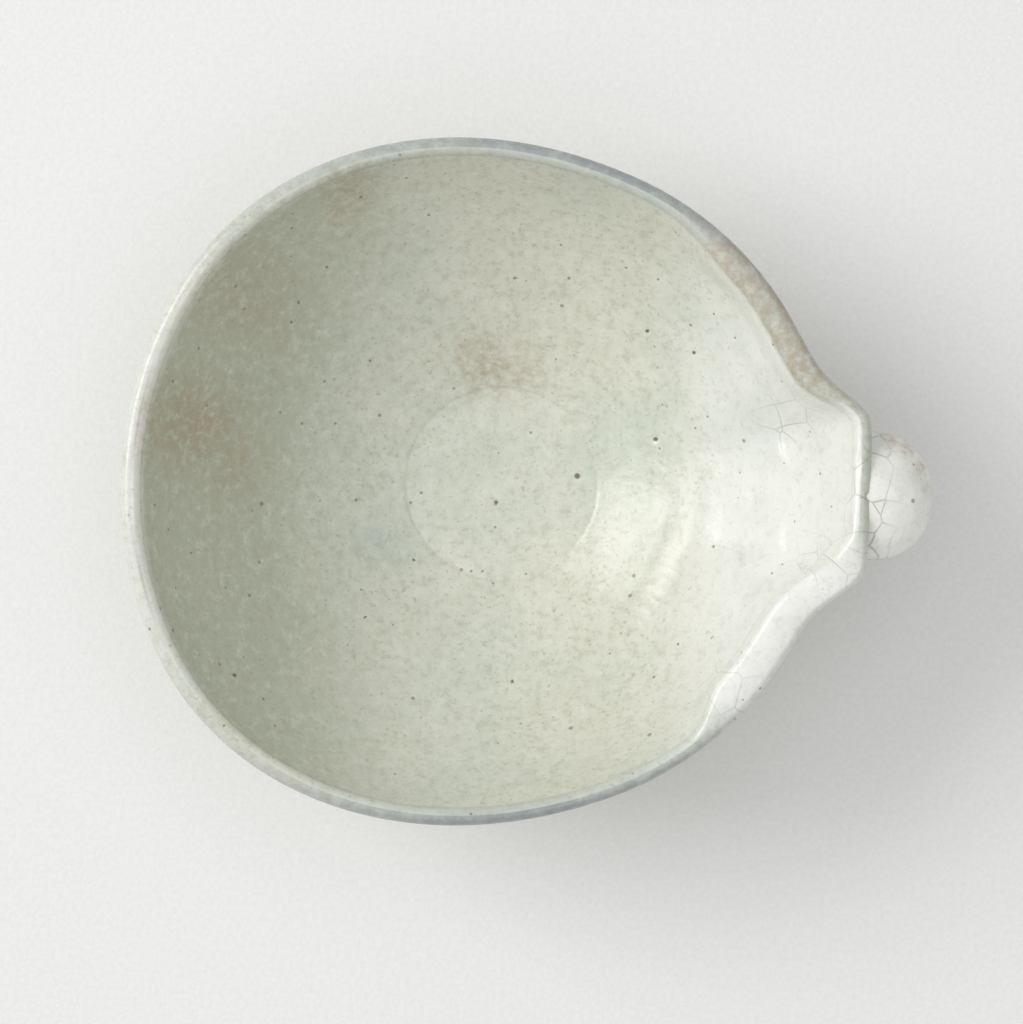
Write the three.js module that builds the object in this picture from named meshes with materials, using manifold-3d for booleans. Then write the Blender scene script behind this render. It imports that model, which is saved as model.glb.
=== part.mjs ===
// A hand-thrown stoneware bowl whose rim is drawn out to one side into a pinched, blunt lip.
// A D-shaped pellet of clay is luted against the end of the lip, and the bowl stands on a foot ring.
// Millimetres, +Z up, +X towards the lip. The origin is under the middle of the whole length, on the table.
import * as THREE from "three";
import { mergeVertices } from "three/addons/utils/BufferGeometryUtils.js";
import Module from "manifold-3d";

const wasm = await Module();
wasm.setup();

// Heights above the table
const RIM_Z = 46;
const FOOT_HEIGHT = 6;
const WELL_Z = 9.6;
const WALL_TOP_Z = RIM_Z - 1.9;

// The rim outline, as distances from the foot's centre
const SIDE_RADIUS = 55.9;
const BACK_RADIUS = 63.2;
const LIP_END = 61.9;
const LIP_REACH = 64.2;
const LIP_HALF_ANGLE = THREE.MathUtils.degToRad(9);
const LIP_FLARE_ANGLE = THREE.MathUtils.degToRad(8.5);
const BACK_FROM_ANGLE = THREE.MathUtils.degToRad(68);
const BACK_TO_ANGLE = THREE.MathUtils.degToRad(150);
const LIP_CORNER_SHARPNESS = 80;

// One shoulder of the back is fuller than the other, as the hand that pulled the lip left it
const SHOULDER_SWELL = 1.25;
const SHOULDER_ANGLE = THREE.MathUtils.degToRad(-142);
const SHOULDER_WIDTH = THREE.MathUtils.degToRad(36);

// The wall
const WELL_RADIUS = 17.2;
const UNDERSIDE_RADIUS = 25;
const LIP_THICKNESS = 2.9;
const PULL_FROM_RADIUS = 27;
const PULL_FULL_RADIUS = 54;
const RIM_WAVE = 0.45;

// The lip is rolled thick along one flank of the spout and pinched a little along the other
const ROLL_SWELL = 3.6;
const ROLL_ANGLE = THREE.MathUtils.degToRad(-27);
const PINCH_SWELL = 1.2;
const PINCH_ANGLE = THREE.MathUtils.degToRad(26);
const ROLL_WIDTH = THREE.MathUtils.degToRad(15);
const ROLL_HEIGHT = 8;

// Two fingertip hollows pressed into the floor of the spout
const DIMPLE_DEPTH = 1.0;
const DIMPLE_RADIUS = 5;
const DIMPLE_X = 53.5;
const DIMPLE_Y = 8;

// The foot ring
const FOOT_OUTER = 24.5;
const FOOT_INNER = 18.8;
const FOOT_BEVEL = 0.8;
const FOOT_FLARE = 0.6;
const UNDERSIDE_NIPPLE = 0.8;
const NIPPLE_RADIUS = 5;

// The pellet at the end of the lip
const PELLET_TIP = 73.1;
const PELLET_LENGTH = 11.7;
const PELLET_HALF_WIDTH = 11.2;
const PELLET_HALF_HEIGHT = 8.6;
const PELLET_DROP = 0.6;
const PELLET_SQUARENESS = 0.88;
const LUTING_GAP = 0.3;

// Facets
const SEGMENTS = 96;
const SPOUT_CROWDING = 0.45;
const WALL_STEPS = 13;
const LIP_STEPS = 6;

// The foot's centre lies behind the middle of the whole length
const FOOT_X = -(PELLET_TIP - BACK_RADIUS) / 2;

const smooth = (from, to, value) => THREE.MathUtils.smoothstep(value, from, to);
const bell = (offset, width) => Math.exp(-((offset / width) ** 2));
const turnTo = (angle, target) => Math.atan2(Math.sin(angle - target), Math.cos(angle - target));

// Distance from the foot's centre to the outside of the rim, at an angle from the lip's own direction.
function rimRadius(angle) {
  const off = Math.abs(angle);
  const flare = off < LIP_HALF_ANGLE ? 1 : bell(off - LIP_HALF_ANGLE, LIP_FLARE_ANGLE);
  const back = smooth(BACK_FROM_ANGLE, BACK_TO_ANGLE, off);
  const round =
    SIDE_RADIUS +
    (LIP_REACH - SIDE_RADIUS) * flare +
    (BACK_RADIUS - SIDE_RADIUS) * back +
    SHOULDER_SWELL * bell(turnTo(angle, SHOULDER_ANGLE), SHOULDER_WIDTH);
  if (Math.cos(angle) <= 0) return round;
  // The lip's end is pressed flat, and the flat runs into the flanks round two soft corners.
  const flat = LIP_END / Math.cos(angle);
  return (round ** -LIP_CORNER_SHARPNESS + flat ** -LIP_CORNER_SHARPNESS) ** (-1 / LIP_CORNER_SHARPNESS);
}

// Pulls the thrown, round wall out to the rim outline: nothing at the foot, all of it at the rim.
function pull(geometry) {
  const position = geometry.getAttribute("position");
  for (let i = 0; i < position.count; i++) {
    const x = position.getX(i);
    const y = position.getY(i);
    const z = position.getZ(i);
    const radius = Math.hypot(x, y);
    if (radius < 1e-6) continue;
    const turned = Math.atan2(y, x);
    const angle = turned - SPOUT_CROWDING * Math.sin(turned);
    const share = smooth(PULL_FROM_RADIUS, PULL_FULL_RADIUS, radius);
    const pulled = radius * (1 + (rimRadius(angle) / SIDE_RADIUS - 1) * share);
    const lift = RIM_WAVE * share * Math.cos(2 * angle + 0.5);
    position.setXYZ(i, pulled * Math.cos(angle), pulled * Math.sin(angle), z + lift);
  }
}

// Swells the lip inwards along the spout's two flanks and presses the fingertip hollows.
// Only the inside is worked: the points of each turn's profile that come after the top of the lip.
function work(geometry, profileLength, topOfLip) {
  const position = geometry.getAttribute("position");
  for (let i = 0; i < position.count; i++) {
    if (i % profileLength <= topOfLip) continue;
    const x = position.getX(i);
    const y = position.getY(i);
    const z = position.getZ(i);
    const radius = Math.hypot(x, y);
    if (radius < WELL_RADIUS) continue;
    const turned = Math.atan2(y, x);
    const angle = turned - SPOUT_CROWDING * Math.sin(turned);
    const flank =
      ROLL_SWELL * bell(turnTo(angle, ROLL_ANGLE), ROLL_WIDTH) +
      PINCH_SWELL * bell(turnTo(angle, PINCH_ANGLE), ROLL_WIDTH);
    const height = smooth(WALL_TOP_Z - ROLL_HEIGHT, WALL_TOP_Z - 1, z);
    const along = radius * Math.cos(angle);
    const across = Math.abs(radius * Math.sin(angle)) - DIMPLE_Y;
    const hollow = DIMPLE_DEPTH * bell(Math.hypot(along + 4 - DIMPLE_X, across), DIMPLE_RADIUS);
    const moved = radius - flank * height;
    position.setXYZ(i, (x / radius) * moved, (y / radius) * moved, z - hollow);
  }
}

// Points of the wall's outside, from the foot to the lip, set off outwards by a gap.
function outerWall(gap) {
  const curve = new THREE.QuadraticBezierCurve(
    new THREE.Vector2(UNDERSIDE_RADIUS + gap, FOOT_HEIGHT - gap),
    new THREE.Vector2(46.5 + gap, 20 - gap),
    new THREE.Vector2(SIDE_RADIUS + gap, WALL_TOP_Z),
  );
  return curve.getPoints(WALL_STEPS);
}

// Points of the wall's inside, from the lip down to the kink round the well.
function innerWall() {
  const curve = new THREE.QuadraticBezierCurve(
    new THREE.Vector2(SIDE_RADIUS - LIP_THICKNESS, WALL_TOP_Z),
    new THREE.Vector2(42, 18.4),
    new THREE.Vector2(WELL_RADIUS, WELL_Z + 0.2),
  );
  return curve.getPoints(WALL_STEPS);
}

// A half-round lip between the outside and the inside of the wall.
function lip() {
  const points = [];
  for (let step = 1; step < LIP_STEPS; step++) {
    const turn = (Math.PI * step) / LIP_STEPS;
    const middle = SIDE_RADIUS - LIP_THICKNESS / 2;
    const out = (LIP_THICKNESS / 2) * Math.cos(turn);
    points.push(new THREE.Vector2(middle + out, WALL_TOP_Z + (RIM_Z - RIM_WAVE - WALL_TOP_Z) * Math.sin(turn)));
  }
  return points;
}

// Turns a profile of (radius, height) points about the upright axis.
function turnedOnWheel(points, segments) {
  return new THREE.LatheGeometry(points, segments).rotateX(Math.PI / 2);
}

function solidOf(geometry) {
  const bare = geometry.clone();
  bare.deleteAttribute("normal");
  bare.deleteAttribute("uv");
  const merged = mergeVertices(bare, 1e-4);
  return new wasm.Manifold(
    new wasm.Mesh({
      numProp: 3,
      vertProperties: new Float32Array(merged.getAttribute("position").array),
      triVerts: new Uint32Array(merged.index.array),
    }),
  );
}

function geometryOf(solid) {
  const mesh = solid.getMesh();
  const geometry = new THREE.BufferGeometry();
  geometry.setAttribute("position", new THREE.BufferAttribute(mesh.vertProperties, 3));
  geometry.setIndex(new THREE.BufferAttribute(mesh.triVerts, 1));
  geometry.computeVertexNormals();
  return geometry;
}

function bowlBody() {
  const underside = [
    new THREE.Vector2(0, FOOT_HEIGHT - UNDERSIDE_NIPPLE),
    new THREE.Vector2(NIPPLE_RADIUS / 2, FOOT_HEIGHT - UNDERSIDE_NIPPLE * 0.5),
    new THREE.Vector2(NIPPLE_RADIUS, FOOT_HEIGHT),
    new THREE.Vector2(FOOT_INNER, FOOT_HEIGHT),
  ];
  const well = [
    new THREE.Vector2(WELL_RADIUS - 1, WELL_Z),
    new THREE.Vector2(WELL_RADIUS / 2, WELL_Z - 0.2),
    new THREE.Vector2(0, WELL_Z - 0.3),
  ];
  const outside = [...underside, ...outerWall(0)];
  const profile = [...outside, ...lip(), ...innerWall(), ...well];
  const geometry = turnedOnWheel(profile, SEGMENTS);
  work(geometry, profile.length, outside.length + LIP_STEPS / 2 - 1);
  pull(geometry);
  return geometry;
}

function footRing() {
  const profile = [
    new THREE.Vector2(FOOT_INNER + FOOT_BEVEL, 0),
    new THREE.Vector2(FOOT_OUTER - FOOT_BEVEL - FOOT_FLARE, 0),
    new THREE.Vector2(FOOT_OUTER - FOOT_FLARE, FOOT_BEVEL),
    new THREE.Vector2(FOOT_OUTER - FOOT_FLARE * 0.6, FOOT_HEIGHT * 0.6),
    new THREE.Vector2(FOOT_OUTER, FOOT_HEIGHT),
    new THREE.Vector2(FOOT_INNER, FOOT_HEIGHT),
    new THREE.Vector2(FOOT_INNER, FOOT_BEVEL),
    new THREE.Vector2(FOOT_INNER + FOOT_BEVEL, 0),
  ];
  return turnedOnWheel(profile, SEGMENTS);
}

// A ball of clay, a little squared, pressed against the lip: the wall's own outside is cut out of it.
function spoutPellet() {
  const ball = new THREE.SphereGeometry(1, 40, 24);
  const position = ball.getAttribute("position");
  const squared = (value) => Math.sign(value) * Math.abs(value) ** PELLET_SQUARENESS;
  const middleX = PELLET_TIP - PELLET_LENGTH;
  const middleZ = RIM_Z - PELLET_DROP - PELLET_HALF_HEIGHT;
  for (let i = 0; i < position.count; i++) {
    position.setXYZ(
      i,
      middleX + PELLET_LENGTH * squared(position.getX(i)),
      PELLET_HALF_WIDTH * squared(position.getZ(i)),
      middleZ - PELLET_HALF_HEIGHT * squared(position.getY(i)),
    );
  }
  const hull = [new THREE.Vector2(0, FOOT_HEIGHT - 2), ...outerWall(LUTING_GAP)];
  const top = RIM_Z + 10;
  hull.push(new THREE.Vector2(SIDE_RADIUS + LUTING_GAP, top), new THREE.Vector2(0, top));
  const envelope = turnedOnWheel(hull, SEGMENTS);
  pull(envelope);
  return geometryOf(solidOf(ball).subtract(solidOf(envelope)));
}

const glaze = (color) => new THREE.MeshStandardMaterial({ color, roughness: 0.22, metalness: 0 });
const bareClay = new THREE.MeshStandardMaterial({ color: 0x9c8468, roughness: 0.85, metalness: 0 });

function piece(name, geometry, material) {
  const mesh = new THREE.Mesh(geometry, material);
  mesh.name = name;
  mesh.position.x = FOOT_X;
  return mesh;
}

const bowl = new THREE.Group();
bowl.add(piece("bowl_body", bowlBody(), glaze(0xd3d5c8)));
bowl.add(piece("foot_ring", footRing(), bareClay));
bowl.add(piece("spout_knob", spoutPellet(), glaze(0xe4e4dc)));

export default bowl;
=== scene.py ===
# A glazed stoneware bowl with a pulled, pinched lip and a luted pellet of clay, seen from straight above.
import math

import bmesh
import bpy
import numpy as np
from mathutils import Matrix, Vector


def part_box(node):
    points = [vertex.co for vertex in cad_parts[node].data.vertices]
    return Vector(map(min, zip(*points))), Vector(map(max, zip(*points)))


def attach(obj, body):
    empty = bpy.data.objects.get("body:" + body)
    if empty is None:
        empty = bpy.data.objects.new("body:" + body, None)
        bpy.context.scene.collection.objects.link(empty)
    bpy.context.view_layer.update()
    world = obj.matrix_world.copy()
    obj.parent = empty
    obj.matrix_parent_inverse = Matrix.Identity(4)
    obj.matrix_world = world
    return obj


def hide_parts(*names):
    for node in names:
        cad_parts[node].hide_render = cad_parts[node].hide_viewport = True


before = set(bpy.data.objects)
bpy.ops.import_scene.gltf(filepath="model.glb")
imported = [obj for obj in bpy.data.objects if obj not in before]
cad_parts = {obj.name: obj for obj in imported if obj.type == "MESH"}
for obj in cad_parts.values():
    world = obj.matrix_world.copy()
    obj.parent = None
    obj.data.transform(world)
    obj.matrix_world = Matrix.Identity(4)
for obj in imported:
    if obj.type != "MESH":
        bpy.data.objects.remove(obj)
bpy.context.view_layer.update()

# Sizes in millimetres, measured from the middle of the foot unless they say otherwise
MM = 0.001
FOOT_LOW, FOOT_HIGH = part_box("foot_ring")
FOOT_X = (FOOT_LOW[0] + FOOT_HIGH[0]) / 2 / MM
FOOT_HEIGHT = FOOT_HIGH[2] / MM
RIM_Z = 46.0
LIP_ROUND_HEIGHT = 1.9
WALL_TOP_Z = RIM_Z - LIP_ROUND_HEIGHT
WELL_Z = 9.6
WELL_DISH = 0.3

SIDE_RADIUS = 55.9
BACK_RADIUS = 63.2
LIP_END = 61.9
LIP_REACH = 64.2
LIP_HALF_ANGLE = math.radians(9)
LIP_FLARE_ANGLE = math.radians(8.5)
BACK_FROM_ANGLE = math.radians(68)
BACK_TO_ANGLE = math.radians(150)
LIP_CORNER_SHARPNESS = 80
SHOULDER_SWELL = 1.25
SHOULDER_ANGLE = math.radians(-142)
SHOULDER_WIDTH = math.radians(36)

WELL_RADIUS = 17.2
UNDERSIDE_RADIUS = 25.0
LIP_THICKNESS = 2.9
PULL_FROM_RADIUS = 27.0
PULL_FULL_RADIUS = 54.0
RIM_WAVE = 0.45
OUTSIDE_BELLY = (46.5, 20.0)
INSIDE_BELLY = (42.0, 18.4)

# The thick roll of one flank and the slighter pinch of the other: where each starts and ends
ROLL_SWELL = 3.7
ROLL_SPAN = [math.radians(value) for value in (-52, -40, -15, -4)]
PINCH_SWELL = 1.7
PINCH_SPAN = [math.radians(value) for value in (12, 20, 44, 62)]
ROLL_HEIGHT = 8.0

FOOT_OUTER = 24.5
FOOT_INNER = 18.8
FOOT_BEVEL = 0.8
FOOT_FLARE = 0.6
NIPPLE_DROP = 0.8
NIPPLE_RADIUS = 5.0

PELLET_TIP = 73.1
PELLET_LENGTH = 11.7
PELLET_HALF_WIDTH = 11.2
PELLET_HALF_HEIGHT = 8.6
PELLET_DROP = 0.6
PELLET_SQUARENESS = 0.88
PELLET_SUNK = 0.9

# What the wheel and the hand leave: the pitch and depth of the rings, and the unevenness
# as a wavelength, the seed of its draw and a depth
THROWING_PITCH, THROWING_DEPTH = 4.3, 0.035
WELL_PITCH, WELL_RING_DEPTH = 2.6, 0.03
TRIMMING_PITCH, TRIMMING_DEPTH = 2.9, 0.05
WALL_UNEVENNESS = ((26, 3, 0.16), (7, 5, 0.035))
FOOT_GRIT = ((1.4, 8, 0.04), (11, 9, 0.07))
PELLET_PRESS = ((13, 12, 0.012), (3, 14, 0.003))
GLAZE_EDGE = (9, 21, 0.4)
DIMPLE_RIDGE, DIMPLE_RIDGE_AWAY, DIMPLE_RIDGE_WIDTH = 0.22, 1.35, 0.9
CREASE_DEPTH, CREASE_WIDTH = 0.3, 2.2
CREASE_RIDGE, CREASE_RIDGE_WIDTH, CREASE_RIDGE_AWAY = 0.22, 2.4, 4.5
PIT_DEPTH, PIT_RIM = 0.14, 0.03
PIN_HOLE_DEPTH, PIN_HOLE_RADIUS = 0.7, 0.45
NEAR_RIM = 6

# Steps of the fine surfaces, and how far they stay inside the solids
AROUND = 640
FOOT_AROUND = 360
PELLET_AROUND, PELLET_ROWS = 220, 150
SPOUT_CROWDING = 0.45
SKIN = 0.03

# The camera looks straight down, a little in front of the foot's middle, and is turned a little
CAMERA_TURN = math.radians(2.13)
CAMERA_X = 1.9
CAMERA_Y = -4.9
CAMERA_ABOVE_RIM = 600.0
FRAME_PIXELS = 1024
MM_PER_PIXEL = 0.1668
SENSOR = 36.0

# One large window to the left, in metres and watts, with soft light from the ceiling and the room
WINDOW_PLACE = (-1.3, 0.4, 1.15)
WINDOW_SIZE = (1.1, 0.9)
WINDOW_POWER = 16.5
CEILING_PLACE = (0.1, -0.1, 1.9)
CEILING_SIZE = (2.2, 2.2)
CEILING_POWER = 10.8
SKY_STRENGTH = 0.49


def smooth(start, end, value):
    share = np.clip((value - start) / (end - start), 0, 1)
    return share * share * (3 - 2 * share)


def bell(offset, width):
    return np.exp(-((offset / width) ** 2))


def turn_to(angle, target):
    return np.arctan2(np.sin(angle - target), np.cos(angle - target))


def stretch(span, angle):
    """1 between the two middle angles of a span, easing to 0 at its ends."""
    return smooth(span[0], span[1], angle) * (1 - smooth(span[2], span[3], angle))


def bezier(start, middle, end, steps):
    share = np.linspace(0, 1, steps + 1)[:, None]
    start, middle, end = (np.array(point, float) for point in (start, middle, end))
    return (1 - share) ** 2 * start + 2 * share * (1 - share) * middle + share**2 * end


def rim_radius(angle):
    """Distance from the foot's middle to the outside of the rim."""
    off = np.abs(angle)
    flare = np.where(off < LIP_HALF_ANGLE, 1, bell(off - LIP_HALF_ANGLE, LIP_FLARE_ANGLE))
    back = smooth(BACK_FROM_ANGLE, BACK_TO_ANGLE, off)
    shoulder = SHOULDER_SWELL * bell(turn_to(angle, SHOULDER_ANGLE), SHOULDER_WIDTH)
    round_radius = SIDE_RADIUS + (LIP_REACH - SIDE_RADIUS) * flare
    round_radius = round_radius + (BACK_RADIUS - SIDE_RADIUS) * back + shoulder
    ahead = np.cos(angle)
    flat = LIP_END / np.where(ahead > 0.05, ahead, 0.05)
    power = LIP_CORNER_SHARPNESS
    both = (round_radius**-power + flat**-power) ** (-1 / power)
    return np.where(ahead > 0, both, round_radius)


def pulled(radius, angle):
    share = smooth(PULL_FROM_RADIUS, PULL_FULL_RADIUS, radius)
    return radius * (1 + (rim_radius(angle) / SIDE_RADIUS - 1) * share)


def lift(radius, angle):
    return RIM_WAVE * smooth(PULL_FROM_RADIUS, PULL_FULL_RADIUS, radius) * np.cos(2 * angle + 0.5)


def ripple(x, y, z, wavelength, seed):
    """A soft, irregular swell between about -1 and 1, the same in every run."""
    draw = np.random.default_rng(seed)
    total = np.zeros_like(x)
    for _ in range(9):
        direction = draw.normal(size=3)
        direction /= np.linalg.norm(direction)
        pitch = wavelength * draw.uniform(0.7, 1.6)
        along = direction[0] * x + direction[1] * y + direction[2] * z
        total += np.sin(2 * math.pi * along / pitch + draw.uniform(0, 2 * math.pi))
    return total / 4.5


def make_mesh(name, points, faces, values, material):
    """A mesh object in metres, with named soft values on its points."""
    mesh = bpy.data.meshes.new(name)
    mesh.from_pydata((points * MM + np.array([FOOT_X * MM, 0, 0])).tolist(), [], faces)
    for label, value in values.items():
        layer = mesh.attributes.new(label, "FLOAT", "POINT")
        layer.data.foreach_set("value", np.clip(value, 0, 1).astype(np.float32))
    mesh.materials.append(material)
    mesh.shade_smooth()
    mesh.validate()
    piece = bpy.data.objects.new(name, mesh)
    bpy.context.scene.collection.objects.link(piece)
    return piece


def ring_faces(rings, around):
    faces = []
    for ring in range(rings - 1):
        low = ring * around
        high = low + around
        for step in range(around):
            after = (step + 1) % around
            faces.append((low + step, low + after, high + after, high + step))
    return faces


# Where things lie inside the bowl, as (along, across) in millimetres from the middle of the foot
BROWN_BLUSHES = [
    ((-3.5, 20.8), 5.0, 0.75),
    ((1.5, 20.3), 4.5, 0.6),
    ((-53.0, 8.0), 8.5, 0.85),
    ((-47.0, 2.0), 6.0, 0.55),
    ((-45.0, 30.0), 9.0, 0.45),
    ((-27.6, 48.8), 5.0, 0.6),
    ((38.9, 36.8), 1.6, 1.0),
]
BLUE_TINTS = [((43.6, 10.6), 6.5, 0.4), ((-21.1, -10.5), 5.0, 0.4), ((-23.0, -40.0), 14.0, 0.2)]
LARGE_SPECKS = [
    ((1.0, 35.8), 0.42),
    ((24.3, 27.4), 0.5),
    ((32.4, 23.8), 0.45),
    ((38.9, 36.8), 0.75),
    ((13.3, 1.9), 0.8),
    ((-0.9, -3.4), 0.6),
    ((26.7, 8.8), 0.6),
    ((-51.8, 28.5), 0.5),
    ((-35.9, 29.8), 0.45),
    ((3.1, -34.4), 0.45),
    ((-23.0, -24.2), 0.4),
    ((-44.0, -34.3), 0.45),
    ((-15.0, -14.0), 0.4),
]
DIMPLES = [((53.2, 9.0), 4.6, 1.1), ((53.6, -7.4), 4.4, 0.9)]
PULL_CREASES = [
    ((24.6, 42.3), (31.1, 27.2), (38.6, 14.0)),
    ((8.4, -48.5), (24.6, -27.5), (32.5, -11.9)),
]
STAR_CRACKS = [(48.6, 12.5), (39.3, -33.8), (55.5, -11.9)]
PIN_HOLE = (61.3, -0.1)

# The same on top of the pellet; its blue is a painted shadow line where it meets the lip
PELLET_RUST = [
    ((65.2, 9.8), 1.5, 0.9),
    ((67.9, 8.1), 1.5, 1.0),
    ((70.6, 5.4), 1.3, 0.8),
    ((71.9, 1.5), 1.1, 0.6),
]
# A painted shadow line along the crease between the pellet and the lip
PELLET_BLUE_SHADOW = [((63.4, 10.2), 2.2, 0.7)]
PELLET_SEAM_X = 62.5


def soft_spots(spots, x, y):
    total = np.zeros_like(x)
    for (along, across), width, strength in spots:
        total = np.maximum(total, strength * bell(np.hypot(x - along, y - across), width))
    return total


def crease_distance(crease, x, y):
    """Distance to a bent line through three points."""
    start, through, end = (np.array(point) for point in crease)
    curve = bezier(start, 2 * through - (start + end) / 2, end, 16)
    nearest = np.full_like(x, 1e9)
    for point in curve:
        nearest = np.minimum(nearest, np.hypot(x - point[0], y - point[1]))
    return nearest


def bowl_profile():
    """The bowl's skin as it leaves the wheel, from under the middle over the rim to the well:
    radius, height and the number of the ring at the top of the rim."""
    nipple_r = np.linspace(0.4, NIPPLE_RADIUS, 8)
    flat_r = np.linspace(NIPPLE_RADIUS + 1, UNDERSIDE_RADIUS - 0.4, 16)
    underside_r = np.concatenate([nipple_r, flat_r])
    underside_z = FOOT_HEIGHT - NIPPLE_DROP * (1 - smooth(0, NIPPLE_RADIUS, underside_r))
    underside_z = np.where(underside_r > FOOT_INNER - 1, FOOT_HEIGHT + 0.05, underside_z)
    outside = bezier((UNDERSIDE_RADIUS, FOOT_HEIGHT), OUTSIDE_BELLY, (SIDE_RADIUS, WALL_TOP_Z), 64)
    turn = np.linspace(0, math.pi, 20)[1:-1]
    lip_r = SIDE_RADIUS - LIP_THICKNESS / 2 + LIP_THICKNESS / 2 * np.cos(turn)
    lip_z = WALL_TOP_Z + (RIM_Z - RIM_WAVE - WALL_TOP_Z) * np.sin(turn)
    inside = bezier((SIDE_RADIUS - LIP_THICKNESS, WALL_TOP_Z), INSIDE_BELLY, (WELL_RADIUS, WELL_Z + 0.2), 130)
    edge_r = np.linspace(WELL_RADIUS - 0.25, WELL_RADIUS - 1.5, 5)
    well_r = np.concatenate([edge_r, np.linspace(WELL_RADIUS - 2, 0.4, 26)])
    well_z = WELL_Z - WELL_DISH * (1 - smooth(0, WELL_RADIUS, well_r))
    radius = np.concatenate([underside_r, outside[:, 0], lip_r, inside[:, 0], well_r])
    height = np.concatenate([underside_z, outside[:, 1], lip_z, inside[:, 1], well_z])
    rim_ring = len(underside_r) + len(outside) + len(lip_r) // 2
    return radius, height, rim_ring


def pull_and_ring(r, z, a, inner):
    """The pinched, thrown and pulled skin as x, y and z, with the rings of the wheel in it."""
    top = smooth(WALL_TOP_Z - ROLL_HEIGHT, WALL_TOP_Z - 1, z)
    wall = inner & (r > WELL_RADIUS)
    swell = ROLL_SWELL * stretch(ROLL_SPAN, a) + PINCH_SWELL * stretch(PINCH_SPAN, a)
    r = np.where(wall, r - swell * top, r)

    # Throwing rings climb the inside as a spiral, and the trimmed outside has finer ones
    on_wall = smooth(WELL_RADIUS, WELL_RADIUS + 6, r) * (1 - 0.8 * top)
    in_well = 1 - smooth(WELL_RADIUS - 4, WELL_RADIUS, r)
    wall_rings = THROWING_DEPTH * np.sin(2 * math.pi * r / THROWING_PITCH + a) * on_wall
    well_rings = WELL_RING_DEPTH * np.sin(2 * math.pi * r / WELL_PITCH + a) * in_well
    outer_rings = -TRIMMING_DEPTH * (1 + np.sin(2 * math.pi * z / TRIMMING_PITCH + a))
    free = smooth(UNDERSIDE_RADIUS, UNDERSIDE_RADIUS + 4, r) * ~inner
    out = pulled(r, a) * (1 - SKIN / BACK_RADIUS) + free * outer_rings
    z = z + lift(r, a)
    z = np.where(inner, z + wall_rings + well_rings, z)
    return r, out * np.cos(a), out * np.sin(a), z


def handled(x, y, z, r, inner):
    """The heights of the skin after the fingers, the folds, the unevenness and the pits."""
    for (along, across), width, depth in DIMPLES:
        away = np.hypot(x - along, y - across)
        raised = DIMPLE_RIDGE * depth * bell(away - width * DIMPLE_RIDGE_AWAY, DIMPLE_RIDGE_WIDTH)
        z = np.where(inner, z - depth * bell(away, width) + raised, z)
    for crease in PULL_CREASES:
        away = crease_distance(crease, x, y)
        raised = CREASE_RIDGE * bell(away - CREASE_RIDGE_AWAY, CREASE_RIDGE_WIDTH)
        z = np.where(inner, z - CREASE_DEPTH * bell(away, CREASE_WIDTH) + raised, z)

    # The unevenness stays off the middle of the well, and nothing rises over the rim
    uneven = sum(ripple(x, y, z, wave, seed) * depth for wave, seed, depth in WALL_UNEVENNESS)
    z = np.where(inner, z + uneven * smooth(4, 20, r), z)
    z = np.where(z > RIM_Z - SKIN, RIM_Z - SKIN, z)

    for (along, across), size in LARGE_SPECKS:
        away = np.hypot(x - along, y - across)
        raised = PIT_RIM * bell(away - size * 1.7, size * 0.6)
        z = np.where(inner, z - PIT_DEPTH * bell(away, size) + raised, z)
    away = np.hypot(x - PIN_HOLE[0], y - PIN_HOLE[1])
    return np.where(z > RIM_Z - NEAR_RIM, z - PIN_HOLE_DEPTH * bell(away, PIN_HOLE_RADIUS), z)


def bowl_body(material):
    radius, height, rim_ring = bowl_profile()
    rings = len(radius)
    turned = np.linspace(-math.pi, math.pi, AROUND, endpoint=False)
    angle = turned - SPOUT_CROWDING * np.sin(turned)
    r = np.repeat(radius[:, None], AROUND, axis=1)
    z = np.repeat(height[:, None], AROUND, axis=1)
    a = np.repeat(angle[None, :], rings, axis=0)
    inner = np.repeat((np.arange(rings) > rim_ring)[:, None], AROUND, axis=1)
    r, x, y, z = pull_and_ring(r, z, a, inner)
    z = handled(x, y, z, r, inner)

    points = np.stack([x, y, z], axis=-1).reshape(-1, 3)
    faces = ring_faces(rings, AROUND)
    low_middle = len(points)
    high_middle = low_middle + 1
    middles = [[0, 0, FOOT_HEIGHT - NIPPLE_DROP], [0, 0, WELL_Z - WELL_DISH]]
    points = np.vstack([points, middles])
    last = (rings - 1) * AROUND
    for step in range(AROUND):
        after = (step + 1) % AROUND
        faces.append((step, low_middle, after))
        faces.append((last + step, last + after, high_middle))
    x, y, z = points.T
    inner = np.concatenate([inner.reshape(-1), [False, True]])
    values = glaze_values(x, y, z, inner, np.concatenate([a.reshape(-1), [0, 0]]))
    return make_mesh("bowl_glazed_wall", points, faces, values, material)


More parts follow.
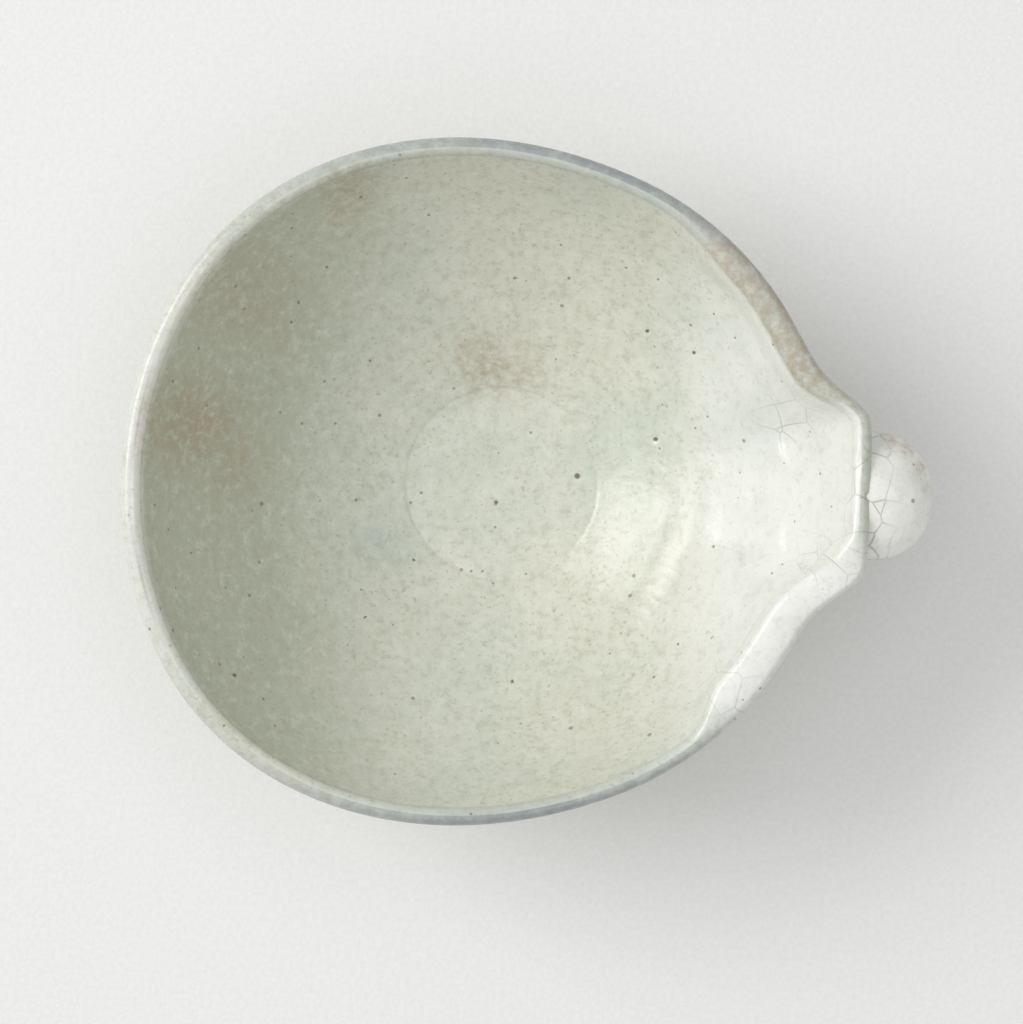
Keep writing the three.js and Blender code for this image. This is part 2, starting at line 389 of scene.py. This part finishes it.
def glaze_values(x, y, z, inner, angle):
    """How olive (partly painted shade), dark, brown and blue (thin glaze, partly painted shade), white (thick
    glaze and painted light), cracked, specked or bare the bowl is at each point.
    """
    top = smooth(RIM_Z - 3.0, RIM_Z - 0.8, z)
    roll = stretch(ROLL_SPAN, angle)
    pinch = stretch(PINCH_SPAN, angle)
    left = smooth(math.radians(125), math.radians(165), np.abs(angle))
    # Olive tint with painted shade: the left inner wall, turned away from the window, is darkened in its
    # colour
    olive_and_shade = smooth(22, 44, np.hypot(x, y)) * smooth(-8, -42, x) * inner * (1 - top)
    brown = soft_spots(BROWN_BLUSHES, x, y) * inner
    # Brown over the top of the pinched flank: thin glaze, partly painted shade where the lip catches less
    # light
    brown = np.maximum(brown, 0.75 * top * pinch)
    upper = bell(turn_to(angle, math.radians(75)), math.radians(45))
    lower = bell(turn_to(angle, math.radians(-85)), math.radians(35))
    # Blue over the rim's upper and lower flanks: thin glaze, partly painted shade; the listed blue tints are
    # the glaze's own
    blue = np.maximum(soft_spots(BLUE_TINTS, x, y) * inner, top * np.maximum(upper, lower) * (1 - roll))
    # White: thick glaze on the rolled flank with a painted highlight on it, and painted light on the left
    # rim's top, which faces the window
    white_glaze_and_light = np.maximum(roll, left * 0.5) * top
    # Painted light on the inner wall towards the spout, which faces the window
    spout = smooth(20, 46, x) * smooth(WELL_Z, WELL_Z + 14, z) * inner
    white_glaze_and_light = np.maximum(white_glaze_and_light, spout * 0.85 * (1 - pinch * top))
    # Slate on the outside under the rim: thin glaze, with painted shade strongest on the upper and lower
    # flanks
    outer_lip = smooth(RIM_Z - 9, RIM_Z - 2, z) * (1 - inner) * (0.2 + 0.8 * np.maximum(upper, lower))
    cracks = soft_spots([(place, 4.5, 0.8) for place in STAR_CRACKS], x, y)
    cracks = np.maximum(cracks, bell(x - 62, 4.0) * bell(y, 11.0))
    specks = soft_spots([(place, size * 0.8, 1.0) for place, size in LARGE_SPECKS], x, y) * inner
    wave, seed, depth = GLAZE_EDGE
    edge_z = z + depth * ripple(x, y, z, wave, seed)
    bare = 1 - smooth(FOOT_HEIGHT - 0.2, FOOT_HEIGHT + 1.2, edge_z)
    hole = bell(np.hypot(x - PIN_HOLE[0], y - PIN_HOLE[1]), 0.4) * (z > RIM_Z - NEAR_RIM)
    return {
        "olive_and_shade": olive_and_shade,
        "thin_edge_and_shade": outer_lip,
        "brown": brown,
        "blue": blue,
        "white_glaze_and_light": white_glaze_and_light,
        "cracks": cracks,
        "specks": np.maximum(specks, hole),
        "bare": bare,
    }


def foot_ring(material):
    corner = np.linspace(0, math.pi / 2, 8)
    under = np.linspace(FOOT_INNER + FOOT_BEVEL, FOOT_OUTER - FOOT_BEVEL - FOOT_FLARE, 14)
    outer_edge = FOOT_OUTER - FOOT_FLARE
    side_height = FOOT_HEIGHT - FOOT_BEVEL
    profile = [(value, 0.0) for value in under]
    for turn in corner[1:]:
        out = outer_edge - FOOT_BEVEL * (1 - math.sin(turn))
        profile.append((out, FOOT_BEVEL * (1 - math.cos(turn))))
    for share in np.linspace(0.1, 1, 14):
        profile.append((outer_edge + FOOT_FLARE * share * share, FOOT_BEVEL + side_height * share))
    for value in np.linspace(FOOT_OUTER - 0.6, FOOT_INNER + 0.6, 8):
        profile.append((value, FOOT_HEIGHT))
    for share in np.linspace(0, 1, 12):
        profile.append((FOOT_INNER, FOOT_HEIGHT - side_height * share))
    for turn in corner[1:-1]:
        out = FOOT_INNER + FOOT_BEVEL * (1 - math.cos(turn))
        profile.append((out, FOOT_BEVEL * (1 - math.sin(turn))))
    profile = np.array(profile)
    angle = np.linspace(0, 2 * math.pi, FOOT_AROUND, endpoint=False)
    r = np.repeat(profile[:, :1], FOOT_AROUND, axis=1)
    z = np.repeat(profile[:, 1:], FOOT_AROUND, axis=1)
    a = np.repeat(angle[None, :], len(profile), axis=0)
    x = r * np.cos(a)
    y = r * np.sin(a)
    # Only the outer side is rough, and the roughness goes inwards
    side = (z > 0.3) & (z < FOOT_HEIGHT - 0.1) & (r > FOOT_INNER + 2)
    grit = sum(ripple(x, y, z, wave, seed) * depth for wave, seed, depth in FOOT_GRIT) - 0.1
    r = np.where(side, r + grit, r)
    points = np.stack([r * np.cos(a), r * np.sin(a), z], axis=-1).reshape(-1, 3)
    rings = len(profile)
    faces = ring_faces(rings, FOOT_AROUND)
    last = (rings - 1) * FOOT_AROUND
    for step in range(FOOT_AROUND):
        after = (step + 1) % FOOT_AROUND
        faces.append((last + step, last + after, after, step))
    return make_mesh("foot_bare_ring", points, faces, {}, material)


def outside_radius(angle, z):
    """The wall's outside at a height, solved from its curve."""
    low, belly, high = FOOT_HEIGHT, OUTSIDE_BELLY[1], WALL_TOP_Z
    curve = low - 2 * belly + high
    slope = 2 * (belly - low)
    height = np.clip(z, low, high)
    share = (-slope + np.sqrt(slope * slope - 4 * curve * (low - height))) / (2 * curve)
    thrown = (1 - share) ** 2 * UNDERSIDE_RADIUS + share**2 * SIDE_RADIUS
    thrown = thrown + 2 * share * (1 - share) * OUTSIDE_BELLY[0]
    return pulled(thrown, angle)


def squared(value):
    return np.sign(value) * np.abs(value) ** PELLET_SQUARENESS


def spout_pellet(material):
    columns = PELLET_AROUND
    rows = PELLET_ROWS
    around = np.linspace(0, 2 * math.pi, columns, endpoint=False)
    down = np.linspace(0, math.pi, rows + 2)[1:-1]
    a = np.repeat(around[None, :], rows, axis=0)
    d = np.repeat(down[:, None], columns, axis=1)
    middle_x = PELLET_TIP - PELLET_LENGTH
    middle_z = RIM_Z - PELLET_DROP - PELLET_HALF_HEIGHT
    x = (PELLET_LENGTH - SKIN) * squared(np.sin(d) * np.cos(a))
    y = (PELLET_HALF_WIDTH - SKIN) * squared(np.sin(d) * np.sin(a))
    z = (PELLET_HALF_HEIGHT - SKIN) * squared(np.cos(d))
    press = 1 - sum(depth * (1 + ripple(x, y, z, wave, seed)) for wave, seed, depth in PELLET_PRESS)
    x = middle_x + x * press
    y = y * press
    z = middle_z + z * press
    # Where it meets the wall it follows the wall's outside, a little sunk in
    angle = np.arctan2(y, x)
    least = outside_radius(angle, z) - PELLET_SUNK
    out = np.hypot(x, y)
    grow = np.where(out < least, least / out, 1)
    x = x * grow
    y = y * grow
    points = np.stack([x, y, z], axis=-1).reshape(-1, 3)
    top = [[middle_x, 0, middle_z + PELLET_HALF_HEIGHT - SKIN]]
    lowest = middle_z - PELLET_HALF_HEIGHT
    wall_x = outside_radius(np.array(0.0), np.array(lowest)) - PELLET_SUNK
    bottom = [[wall_x, 0, lowest + SKIN]]
    count = len(points)
    points = np.vstack([points, top, bottom])
    faces = [tuple(reversed(face)) for face in ring_faces(rows, columns)]
    last = (rows - 1) * columns
    for step in range(columns):
        after = (step + 1) % columns
        faces.append((step, after, count))
        faces.append((last + after, last + step, count + 1))
    x, y, z = points.T
    nothing = np.zeros(len(points))
    above = z > middle_z
    # Painted light and shade: white over the pellet's top, slate over its lower half and brown under it
    white_glaze_and_light = smooth(middle_z - 4, middle_z + 2, z)
    under = 1 - smooth(middle_z - 7, middle_z - 2, z)
    values = {
        "olive_and_shade": nothing,
        "thin_edge_and_shade": 0.5 * (1 - white_glaze_and_light),
        "brown": np.maximum(soft_spots(PELLET_RUST, x, y) * above, 0.35 * under),
        "blue": soft_spots(PELLET_BLUE_SHADOW, x, y) * above,
        "white_glaze_and_light": white_glaze_and_light,
        "cracks": np.maximum(bell(x - PELLET_SEAM_X, 3.0), 0.15),
        "specks": nothing,
        "bare": nothing,
    }
    return make_mesh("luted_pellet", points, faces, values, material)


def linear(red, green, blue):
    def one(value):
        value /= 255
        return value / 12.92 if value <= 0.04045 else ((value + 0.055) / 1.055) ** 2.4

    return (one(red), one(green), one(blue), 1.0)


GLAZE_COOL = linear(203, 209, 195)
GLAZE_WARM = linear(213, 213, 198)
GLAZE_CLOUD = linear(224, 225, 214)
# Olive tint that also paints shade onto the left inner wall
OLIVE_AND_SHADE = linear(176, 181, 160)
# Thick white glaze, also used as painted light and painted highlight
WHITE_GLAZE_AND_LIGHT = linear(241, 241, 236)
DARK_MOTTLE = linear(172, 170, 148)
LIGHT_MOTTLE = linear(226, 230, 220)
STRAW_FLECK = linear(162, 152, 126)
# Blue-grey glaze tint, also used as painted shade on the rim's flanks and as a painted shadow on the pellet
BLUE_TINT_AND_SHADE = linear(164, 180, 178)
# Slate of thin glaze, also used as painted shade on the rim and on the pellet's lower half
SLATE_THIN_GLAZE_AND_SHADE = linear(134, 140, 144)
# Brown blush, also used as painted shade on the pinched flank's rim and under the pellet
BROWN_BLUSH_AND_SHADE = linear(164, 142, 114)
SMALL_IRON = linear(112, 98, 80)
LARGE_IRON = linear(96, 78, 58)
CRACK_GREY = linear(126, 120, 108)
CLAY_DARK = linear(150, 126, 98)
CLAY_LIGHT = linear(176, 152, 122)
FOOT_DARK = linear(150, 124, 96)
FOOT_LIGHT = linear(172, 146, 116)
FOOT_GRIT_BROWN = linear(118, 94, 70)
FOOT_IRON = linear(66, 50, 38)
FLOOR_LOW = linear(233, 233, 232)
FLOOR_HIGH = linear(238, 238, 237)


class Shader:
    """A short way to write a node material."""

    def __init__(self, name):
        self.material = bpy.data.materials.new(name)
        self.material.use_nodes = True
        self.nodes = self.material.node_tree.nodes
        self.links = self.material.node_tree.links
        self.surface = self.nodes["Principled BSDF"]
        self.place = self.nodes.new("ShaderNodeTexCoord").outputs["Object"]

    def put(self, value, socket):
        """A number or a colour sets the socket, and another node's output is linked to it."""
        if isinstance(value, (int, float, tuple)):
            socket.default_value = value
        else:
            self.links.new(value, socket)

    def noise(self, size_mm, detail=4.0, rough=0.55):
        node = self.nodes.new("ShaderNodeTexNoise")
        node.inputs["Scale"].default_value = 1 / (size_mm * MM)
        node.inputs["Detail"].default_value = detail
        node.inputs["Roughness"].default_value = rough
        self.links.new(self.place, node.inputs["Vector"])
        return node.outputs["Fac"]

    def cells(self, size_mm, feature="F1"):
        node = self.nodes.new("ShaderNodeTexVoronoi")
        node.feature = feature
        node.inputs["Scale"].default_value = 1 / (size_mm * MM)
        self.links.new(self.place, node.inputs["Vector"])
        return node

    def value(self, label):
        node = self.nodes.new("ShaderNodeAttribute")
        node.attribute_name = label
        return node.outputs["Fac"]

    def math(self, operation, first, second=0.0):
        node = self.nodes.new("ShaderNodeMath")
        node.operation = operation
        self.put(first, node.inputs[0])
        self.put(second, node.inputs[1])
        return node.outputs[0]

    def span(self, value, low, high, to_low=0.0, to_high=1.0):
        node = self.nodes.new("ShaderNodeMapRange")
        node.interpolation_type = "SMOOTHSTEP"
        self.put(value, node.inputs["Value"])
        node.inputs["From Min"].default_value = low
        node.inputs["From Max"].default_value = high
        node.inputs["To Min"].default_value = to_low
        node.inputs["To Max"].default_value = to_high
        return node.outputs["Result"]

    def mix(self, share, first, second):
        node = self.nodes.new("ShaderNodeMix")
        node.data_type = "RGBA"
        self.put(share, node.inputs["Factor"])
        self.put(first, node.inputs["A"])
        self.put(second, node.inputs["B"])
        return node.outputs["Result"]

    def bump(self, height, distance_mm, strength=1.0, onto=None):
        node = self.nodes.new("ShaderNodeBump")
        node.inputs["Strength"].default_value = strength
        node.inputs["Distance"].default_value = distance_mm * MM
        self.links.new(height, node.inputs["Height"])
        if onto is not None:
            self.links.new(onto, node.inputs["Normal"])
        return node.outputs["Normal"]


def scattered(shader, cell_mm, share, size):
    """Small round marks, one in some of the cells: 1 on a mark and 0 off it."""
    node = shader.cells(cell_mm)
    channel = shader.nodes.new("ShaderNodeSeparateColor")
    shader.links.new(node.outputs["Color"], channel.inputs["Color"])
    chosen = shader.math("GREATER_THAN", channel.outputs["Red"], 1 - share)
    wide = shader.math("MULTIPLY", channel.outputs["Green"], size)
    gap = shader.math("SUBTRACT", wide, node.outputs["Distance"])
    near = shader.span(gap, -0.02, 0.03)
    return shader.math("MULTIPLY", near, chosen)


def glaze_material():
    shader = Shader("ash_glaze")
    broad = shader.noise(34, 3)
    cloud = shader.noise(9, 5, 0.6)
    mottle = shader.noise(1.7, 6, 0.7)
    grain = shader.noise(0.8, 4, 0.65)
    colour = shader.mix(shader.span(broad, 0.35, 0.65), GLAZE_COOL, GLAZE_WARM)
    colour = shader.mix(shader.span(cloud, 0.42, 0.7, 0, 0.3), colour, GLAZE_CLOUD)
    # Olive tint and painted shade on the left inner wall
    colour = shader.mix(shader.math("MULTIPLY", shader.value("olive_and_shade"), 0.8), colour, OLIVE_AND_SHADE)
    # White glaze and painted light where the walls and the pellet face the light
    white_glaze_and_light = shader.math("MULTIPLY", shader.value("white_glaze_and_light"), shader.span(cloud, 0.25, 0.55, 0.6, 1.0))
    colour = shader.mix(white_glaze_and_light, colour, WHITE_GLAZE_AND_LIGHT)

    # Mottling and flecks, calmer where the glaze is thick and white and where light is painted on
    calm = shader.math("SUBTRACT", 1.0, shader.math("MULTIPLY", white_glaze_and_light, 0.7))
    dark = shader.math("MULTIPLY", shader.span(mottle, 0.47, 0.7, 0, 0.42), calm)
    colour = shader.mix(dark, colour, DARK_MOTTLE)
    light = shader.math("MULTIPLY", shader.span(mottle, 0.5, 0.3, 0, 0.35), calm)
    colour = shader.mix(light, colour, LIGHT_MOTTLE)
    fleck = shader.math("MULTIPLY", shader.span(grain, 0.56, 0.72, 0, 0.55), calm)
    colour = shader.mix(fleck, colour, STRAW_FLECK)

    # Blue and brown stretches, and the dark glaze that runs thin under the rim; over the rim's flanks and on
    # the pellet these also carry painted shade
    blue = shader.math("MULTIPLY", shader.value("blue"), shader.span(cloud, 0.3, 0.6, 0.45, 1.0))
    colour = shader.mix(shader.math("MULTIPLY", blue, 0.6), colour, BLUE_TINT_AND_SHADE)
    thin_edge_and_shade = shader.math("MULTIPLY", shader.value("thin_edge_and_shade"), shader.span(mottle, 0.3, 0.6, 0.55, 1.0))
    colour = shader.mix(shader.math("MULTIPLY", thin_edge_and_shade, 0.75), colour, SLATE_THIN_GLAZE_AND_SHADE)
    brown = shader.math("MULTIPLY", shader.value("brown"), shader.span(mottle, 0.35, 0.6, 0.35, 1.0))
    colour = shader.mix(shader.math("MULTIPLY", brown, 0.7), colour, BROWN_BLUSH_AND_SHADE)

    # Iron specks, cracks and the clay above the foot
    fine = scattered(shader, 1.9, 0.2, 0.17)
    coarse = scattered(shader, 4.6, 0.3, 0.10)
    speck = shader.math("MAXIMUM", fine, coarse)
    colour = shader.mix(shader.math("MULTIPLY", speck, 0.62), colour, SMALL_IRON)
    colour = shader.mix(shader.span(shader.value("specks"), 0.25, 0.75, 0, 0.88), colour, LARGE_IRON)
    edges = shader.cells(6.0, "DISTANCE_TO_EDGE")
    line = shader.span(edges.outputs["Distance"], 0.0, 0.03, 1, 0)
    crackle = shader.math("MULTIPLY", line, shader.value("cracks"))
    colour = shader.mix(shader.math("MULTIPLY", crackle, 0.5), colour, CRACK_GREY)
    clay = shader.mix(grain, CLAY_DARK, CLAY_LIGHT)
    bare = shader.value("bare")
    colour = shader.mix(bare, colour, clay)
    shader.links.new(colour, shader.surface.inputs["Base Color"])

    # Gloss, and the fine relief of the glaze
    gloss = shader.span(cloud, 0.3, 0.7, 0.17, 0.3)
    gloss = shader.math("SUBTRACT", gloss, shader.math("MULTIPLY", shader.value("white_glaze_and_light"), 0.05))
    gloss = shader.math("ADD", gloss, shader.math("MULTIPLY", bare, 0.5))
    shader.links.new(gloss, shader.surface.inputs["Roughness"])
    shader.surface.inputs["IOR"].default_value = 1.5
    normal = shader.bump(shader.noise(5.5, 3), 0.4, 0.35)
    normal = shader.bump(mottle, 0.1, 0.5, normal)
    normal = shader.bump(grain, 0.05, 0.4, normal)
    pits = shader.math("SUBTRACT", 1.0, shader.math("MAXIMUM", speck, crackle))
    normal = shader.bump(pits, 0.08, 0.6, normal)
    shader.links.new(normal, shader.surface.inputs["Normal"])
    return shader.material


def clay_material():
    shader = Shader("bare_stoneware")
    broad = shader.noise(9, 4)
    grit = shader.noise(0.7, 5, 0.65)
    colour = shader.mix(shader.span(broad, 0.35, 0.65), FOOT_DARK, FOOT_LIGHT)
    colour = shader.mix(shader.span(grit, 0.45, 0.7, 0, 0.6), colour, FOOT_GRIT_BROWN)
    speck = scattered(shader, 1.8, 0.15, 0.2)
    colour = shader.mix(shader.math("MULTIPLY", speck, 0.8), colour, FOOT_IRON)
    shader.links.new(colour, shader.surface.inputs["Base Color"])
    rough = shader.span(grit, 0.3, 0.7, 0.75, 0.92)
    shader.links.new(rough, shader.surface.inputs["Roughness"])
    shader.links.new(shader.bump(grit, 0.15, 0.8), shader.surface.inputs["Normal"])
    return shader.material


def floor_material():
    shader = Shader("pale_floor")
    tooth = shader.noise(0.9, 5, 0.6)
    colour = shader.mix(shader.span(tooth, 0.3, 0.7), FLOOR_LOW, FLOOR_HIGH)
    shader.links.new(colour, shader.surface.inputs["Base Color"])
    shader.surface.inputs["Roughness"].default_value = 0.9
    shader.surface.inputs["Specular IOR Level"].default_value = 0.1
    shader.links.new(shader.bump(tooth, 0.2, 0.5), shader.surface.inputs["Normal"])
    return shader.material


def floor():
    half = 3.0
    build = bmesh.new()
    bmesh.ops.create_grid(build, x_segments=8, y_segments=8, size=half)
    mesh = bpy.data.meshes.new("floor")
    build.to_mesh(mesh)
    build.free()
    mesh.materials.append(floor_material())
    sheet = bpy.data.objects.new("floor", mesh)
    bpy.context.scene.collection.objects.link(sheet)


def area_light(name, place, size, power, target=(0.0, 0.0, 0.02)):
    light = bpy.data.lights.new(name, "AREA")
    light.shape = "RECTANGLE"
    light.size = size[0]
    light.size_y = size[1]
    light.energy = power
    lamp = bpy.data.objects.new(name, light)
    lamp.location = place
    direction = np.array(target) - np.array(place)
    flat = math.hypot(direction[0], direction[1])
    turn = math.atan2(direction[1], direction[0]) - math.pi / 2
    lamp.rotation_euler = (math.atan2(flat, -direction[2]), 0, turn)
    bpy.context.scene.collection.objects.link(lamp)


def lighting():
    area_light("window", WINDOW_PLACE, WINDOW_SIZE, WINDOW_POWER)
    area_light("ceiling", CEILING_PLACE, CEILING_SIZE, CEILING_POWER)
    world = bpy.data.worlds.new("studio")
    world.use_nodes = True
    background = world.node_tree.nodes["Background"]
    background.inputs["Color"].default_value = (1.0, 1.0, 1.0, 1.0)
    background.inputs["Strength"].default_value = SKY_STRENGTH
    bpy.context.scene.world = world


def camera():
    data = bpy.data.cameras.new("camera")
    data.sensor_width = SENSOR
    data.lens = SENSOR * CAMERA_ABOVE_RIM / (FRAME_PIXELS * MM_PER_PIXEL)
    data.clip_start = 0.01
    data.clip_end = 20.0
    eye = bpy.data.objects.new("camera", data)
    eye.location = ((FOOT_X + CAMERA_X) * MM, CAMERA_Y * MM, (RIM_Z + CAMERA_ABOVE_RIM) * MM)
    eye.rotation_euler = (0.0, 0.0, CAMERA_TURN)
    bpy.context.scene.collection.objects.link(eye)
    bpy.context.scene.camera = eye


camera()
lighting()
floor()
glaze = glaze_material()
clay = clay_material()
for build, node, slot, material in (
    (bowl_body, "bowl_body", "glaze", glaze),
    (foot_ring, "foot_ring", "bare_clay", clay),
    (spout_pellet, "spout_knob", "glaze", glaze),
):
    piece = build(material)
    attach(piece, "root")
    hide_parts(node)

bpy.context.scene.view_settings.view_transform = "Standard"
